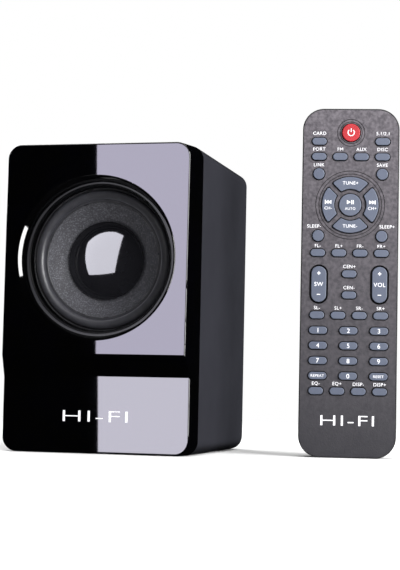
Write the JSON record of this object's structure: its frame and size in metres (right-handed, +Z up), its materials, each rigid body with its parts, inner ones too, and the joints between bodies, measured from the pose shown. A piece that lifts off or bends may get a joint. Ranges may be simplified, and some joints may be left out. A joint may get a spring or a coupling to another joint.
{
  "type": "mini hifi system",
  "caption": "Small hi-fi set: a satellite speaker with a funnel-mounted full-range driver and a remote control standing beside it.",
  "frame": {"origin": "on the floor under the middle of the speaker cabinet, at the centre of its flat base", "axes": "+X to the right of a viewer who faces the fronts, +Y from the fronts to the backs, +Z up"},
  "size_m": [0.1882, 0.1176, 0.172],
  "materials": {
    "cabinet_plastic": "satin, fine moulded grain",
    "gloss_black": "high gloss",
    "trim_plastic": "satin",
    "basket_steel": "black paint",
    "plated_iron": "zinc plated",
    "ferrite": "ground",
    "cone_paper": "matt pressed paper",
    "cap_gloss": "gloss",
    "surround_rubber": "satin",
    "spider_cloth": "woven, resin dipped",
    "coil_wire": "enamelled wire",
    "screw_steel": "black oxide",
    "cup_plastic": "satin",
    "lever_red": "satin",
    "lever_black": "satin",
    "remote_case_plastic": "satin",
    "remote_face_plastic": "fine leather-like grain",
    "cell_jacket": "printed sleeve",
    "contact_nickel": "nickel plated",
    "board_laminate": "phenolic board",
    "window_plastic": "dark translucent red",
    "mat_rubber": "silicone",
    "power_key_plastic": "semi gloss",
    "key_plastic": "satin paint"
  },
  "bodies": {
    "speaker": {"cabinet_shell": "cabinet_plastic", "front_panel": "gloss_black", "driver_trim_ring": "trim_plastic", "driver_basket": "basket_steel", "magnet_front_plate": "plated_iron", "ferrite_magnet": "ferrite", "magnet_yoke": "plated_iron", "cone_surround": "surround_rubber", "spider": "spider_cloth", "assembly_screws": "screw_steel", "terminal_cup": "cup_plastic"},
    "cone": {"cone": "cone_paper", "dust_cap": "cap_gloss", "voice_coil": "coil_wire"},
    "red_lever": {"terminal_lever_red": "lever_red"},
    "black_lever": {"terminal_lever_black": "lever_black"},
    "remote": {"remote_case": "remote_case_plastic", "remote_face": "remote_face_plastic", "batteries": "cell_jacket", "battery_contacts": "contact_nickel", "circuit_board": "board_laminate", "infrared_window": "window_plastic", "key_mat": "mat_rubber"},
    "battery_cover": {"battery_cover": "remote_case_plastic"},
    "power_key": {"power_key": "power_key_plastic"},
    "play_key": {"play_key": "key_plastic"},
    "tune_up_key": {"tune_up_key": "key_plastic"},
    "tune_down_key": {"tune_down_key": "key_plastic"},
    "previous_key": {"previous_key": "key_plastic"},
    "next_key": {"next_key": "key_plastic"},
    "card_key": {"card_key": "key_plastic"},
    "channel_mode_key": {"channel_mode_key": "key_plastic"},
    "port_key": {"port_key": "key_plastic"},
    "radio_key": {"radio_key": "key_plastic"},
    "line_input_key": {"line_input_key": "key_plastic"},
    "disc_key": {"disc_key": "key_plastic"},
    "wireless_key": {"wireless_key": "key_plastic"},
    "save_key": {"save_key": "key_plastic"},
    "sleep_down_key": {"sleep_down_key": "key_plastic"},
    "sleep_up_key": {"sleep_up_key": "key_plastic"},
    "front_level_keys": {"front_level_keys": "key_plastic"},
    "rear_level_keys": {"rear_level_keys": "key_plastic"},
    "tone_down_key": {"tone_down_key": "key_plastic"},
    "tone_up_key": {"tone_up_key": "key_plastic"},
    "display_down_key": {"display_down_key": "key_plastic"},
    "display_up_key": {"display_up_key": "key_plastic"},
    "digit_0": {"digit_0": "key_plastic"},
    "digit_1": {"digit_1": "key_plastic"},
    "digit_2": {"digit_2": "key_plastic"},
    "digit_3": {"digit_3": "key_plastic"},
    "digit_4": {"digit_4": "key_plastic"},
    "digit_5": {"digit_5": "key_plastic"},
    "digit_6": {"digit_6": "key_plastic"},
    "digit_7": {"digit_7": "key_plastic"},
    "digit_8": {"digit_8": "key_plastic"},
    "digit_9": {"digit_9": "key_plastic"},
    "repeat_key": {"repeat_key": "key_plastic"},
    "reset_key": {"reset_key": "key_plastic"},
    "subwoofer_rocker": {"subwoofer_rocker": "key_plastic"},
    "volume_rocker": {"volume_rocker": "key_plastic"}
  },
  "joints": [
    {"name": "cone_travel", "type": "slide", "parent": "speaker", "child": "cone", "axis": [0, 1, 0], "range_m": [-0.002, 0.002], "stiffness_N_per_m": 1500, "deforming": ["cone_surround", "spider"]},
    {"name": "remote_lift", "type": "slide", "parent": "speaker", "child": "remote", "axis": [0, 0, 1], "range_m": [0, 0.06]},
    {"name": "battery_cover_hinge", "type": "hinge", "parent": "remote", "child": "battery_cover", "pos_m": [0.11287, 0.00784, 0.0142], "axis": [-0.9871, -0.1599, 0], "range_deg": [0, 60]},
    {"name": "red_lever_hinge", "type": "hinge", "parent": "speaker", "child": "red_lever", "pos_m": [0.01, 0.0505, 0.06], "axis": [1, 0, 0], "range_deg": [0, 18], "stiffness_Nm_per_rad": 0.05},
    {"name": "black_lever_hinge", "type": "hinge", "parent": "speaker", "child": "black_lever", "pos_m": [-0.01, 0.0505, 0.06], "axis": [1, 0, 0], "range_deg": [0, 18], "stiffness_Nm_per_rad": 0.05},
    {"name": "power_key_press", "type": "slide", "parent": "remote", "child": "power_key", "axis": [-0.1599, 0.9871, 0], "range_m": [0, 0.0008], "stiffness_N_per_m": 300},
    {"name": "play_key_press", "type": "slide", "parent": "remote", "child": "play_key", "axis": [-0.1599, 0.9871, 0], "range_m": [0, 0.0008], "stiffness_N_per_m": 300},
    {"name": "tune_up_key_press", "type": "slide", "parent": "remote", "child": "tune_up_key", "axis": [-0.1599, 0.9871, 0], "range_m": [0, 0.0008], "stiffness_N_per_m": 300},
    {"name": "tune_down_key_press", "type": "slide", "parent": "remote", "child": "tune_down_key", "axis": [-0.1599, 0.9871, 0], "range_m": [0, 0.0008], "stiffness_N_per_m": 300},
    {"name": "previous_key_press", "type": "slide", "parent": "remote", "child": "previous_key", "axis": [-0.1599, 0.9871, 0], "range_m": [0, 0.0008], "stiffness_N_per_m": 300},
    {"name": "next_key_press", "type": "slide", "parent": "remote", "child": "next_key", "axis": [-0.1599, 0.9871, 0], "range_m": [0, 0.0008], "stiffness_N_per_m": 300},
    {"name": "card_key_press", "type": "slide", "parent": "remote", "child": "card_key", "axis": [-0.1599, 0.9871, 0], "range_m": [0, 0.0008], "stiffness_N_per_m": 300},
    {"name": "channel_mode_key_press", "type": "slide", "parent": "remote", "child": "channel_mode_key", "axis": [-0.1599, 0.9871, 0], "range_m": [0, 0.0008], "stiffness_N_per_m": 300},
    {"name": "port_key_press", "type": "slide", "parent": "remote", "child": "port_key", "axis": [-0.1599, 0.9871, 0], "range_m": [0, 0.0008], "stiffness_N_per_m": 300},
    {"name": "radio_key_press", "type": "slide", "parent": "remote", "child": "radio_key", "axis": [-0.1599, 0.9871, 0], "range_m": [0, 0.0008], "stiffness_N_per_m": 300},
    {"name": "line_input_key_press", "type": "slide", "parent": "remote", "child": "line_input_key", "axis": [-0.1599, 0.9871, 0], "range_m": [0, 0.0008], "stiffness_N_per_m": 300},
    {"name": "disc_key_press", "type": "slide", "parent": "remote", "child": "disc_key", "axis": [-0.1599, 0.9871, 0], "range_m": [0, 0.0008], "stiffness_N_per_m": 300},
    {"name": "wireless_key_press", "type": "slide", "parent": "remote", "child": "wireless_key", "axis": [-0.1599, 0.9871, 0], "range_m": [0, 0.0008], "stiffness_N_per_m": 300},
    {"name": "save_key_press", "type": "slide", "parent": "remote", "child": "save_key", "axis": [-0.1599, 0.9871, 0], "range_m": [0, 0.0008], "stiffness_N_per_m": 300},
    {"name": "sleep_down_key_press", "type": "slide", "parent": "remote", "child": "sleep_down_key", "axis": [-0.1599, 0.9871, 0], "range_m": [0, 0.0008], "stiffness_N_per_m": 300},
    {"name": "sleep_up_key_press", "type": "slide", "parent": "remote", "child": "sleep_up_key", "axis": [-0.1599, 0.9871, 0], "range_m": [0, 0.0008], "stiffness_N_per_m": 300},
    {"name": "front_level_keys_press", "type": "slide", "parent": "remote", "child": "front_level_keys", "axis": [-0.1599, 0.9871, 0], "range_m": [0, 0.0008], "stiffness_N_per_m": 300},
    {"name": "rear_level_keys_press", "type": "slide", "parent": "remote", "child": "rear_level_keys", "axis": [-0.1599, 0.9871, 0], "range_m": [0, 0.0008], "stiffness_N_per_m": 300},
    {"name": "tone_down_key_press", "type": "slide", "parent": "remote", "child": "tone_down_key", "axis": [-0.1599, 0.9871, 0], "range_m": [0, 0.0008], "stiffness_N_per_m": 300},
    {"name": "tone_up_key_press", "type": "slide", "parent": "remote", "child": "tone_up_key", "axis": [-0.1599, 0.9871, 0], "range_m": [0, 0.0008], "stiffness_N_per_m": 300},
    {"name": "display_down_key_press", "type": "slide", "parent": "remote", "child": "display_down_key", "axis": [-0.1599, 0.9871, 0], "range_m": [0, 0.0008], "stiffness_N_per_m": 300},
    {"name": "display_up_key_press", "type": "slide", "parent": "remote", "child": "display_up_key", "axis": [-0.1599, 0.9871, 0], "range_m": [0, 0.0008], "stiffness_N_per_m": 300},
    {"name": "digit_0_press", "type": "slide", "parent": "remote", "child": "digit_0", "axis": [-0.1599, 0.9871, 0], "range_m": [0, 0.0008], "stiffness_N_per_m": 300},
    {"name": "digit_1_press", "type": "slide", "parent": "remote", "child": "digit_1", "axis": [-0.1599, 0.9871, 0], "range_m": [0, 0.0008], "stiffness_N_per_m": 300},
    {"name": "digit_2_press", "type": "slide", "parent": "remote", "child": "digit_2", "axis": [-0.1599, 0.9871, 0], "range_m": [0, 0.0008], "stiffness_N_per_m": 300},
    {"name": "digit_3_press", "type": "slide", "parent": "remote", "child": "digit_3", "axis": [-0.1599, 0.9871, 0], "range_m": [0, 0.0008], "stiffness_N_per_m": 300},
    {"name": "digit_4_press", "type": "slide", "parent": "remote", "child": "digit_4", "axis": [-0.1599, 0.9871, 0], "range_m": [0, 0.0008], "stiffness_N_per_m": 300},
    {"name": "digit_5_press", "type": "slide", "parent": "remote", "child": "digit_5", "axis": [-0.1599, 0.9871, 0], "range_m": [0, 0.0008], "stiffness_N_per_m": 300},
    {"name": "digit_6_press", "type": "slide", "parent": "remote", "child": "digit_6", "axis": [-0.1599, 0.9871, 0], "range_m": [0, 0.0008], "stiffness_N_per_m": 300},
    {"name": "digit_7_press", "type": "slide", "parent": "remote", "child": "digit_7", "axis": [-0.1599, 0.9871, 0], "range_m": [0, 0.0008], "stiffness_N_per_m": 300},
    {"name": "digit_8_press", "type": "slide", "parent": "remote", "child": "digit_8", "axis": [-0.1599, 0.9871, 0], "range_m": [0, 0.0008], "stiffness_N_per_m": 300},
    {"name": "digit_9_press", "type": "slide", "parent": "remote", "child": "digit_9", "axis": [-0.1599, 0.9871, 0], "range_m": [0, 0.0008], "stiffness_N_per_m": 300},
    {"name": "repeat_key_press", "type": "slide", "parent": "remote", "child": "repeat_key", "axis": [-0.1599, 0.9871, 0], "range_m": [0, 0.0008], "stiffness_N_per_m": 300},
    {"name": "reset_key_press", "type": "slide", "parent": "remote", "child": "reset_key", "axis": [-0.1599, 0.9871, 0], "range_m": [0, 0.0008], "stiffness_N_per_m": 300},
    {"name": "subwoofer_rocker_rock", "type": "hinge", "parent": "remote", "child": "subwoofer_rocker", "pos_m": [0.10093, -0.01131, 0.0848], "axis": [0.9871, 0.1599, 0], "range_deg": [-3, 3], "stiffness_Nm_per_rad": 0.02},
    {"name": "volume_rocker_rock", "type": "hinge", "parent": "remote", "child": "volume_rocker", "pos_m": [0.13025, -0.00656, 0.0848], "axis": [0.9871, 0.1599, 0], "range_deg": [-3, 3], "stiffness_Nm_per_rad": 0.02}
  ]
}
